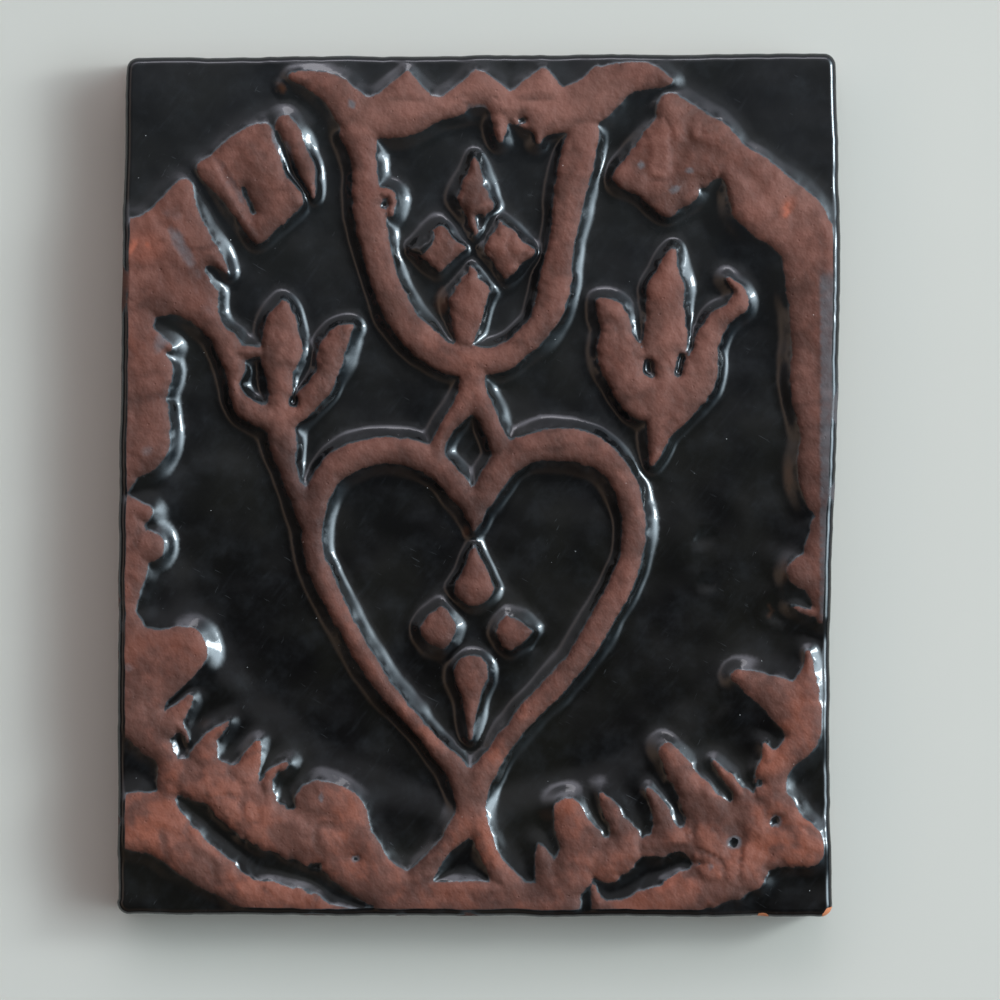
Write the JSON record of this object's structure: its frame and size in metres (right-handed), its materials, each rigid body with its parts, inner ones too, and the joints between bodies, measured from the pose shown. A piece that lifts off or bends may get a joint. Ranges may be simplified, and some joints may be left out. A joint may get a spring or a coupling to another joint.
{
  "type": "decorative relief tile",
  "caption": "Rectangular pressed clay tile with a heart, footed cup, tulips and border in raised bare terracotta on a sunken black glazed ground, and a plain flat back.",
  "frame": {"origin": "centre of the flat back face, where the tile is fixed or lies", "axes": "+Z out of the back through the relief, +Y towards the top of the picture, +X to the picture's right"},
  "size_m": [0.1035, 0.1237, 0.0118],
  "materials": {
    "terracotta": "bare matt fired clay, worn smooth on top of the figures",
    "black_glaze": "thick high-gloss black glaze over the ground and slopes"
  },
  "bodies": {
    "root": {"relief_tile": "terracotta"}
  },
  "joints": []
}
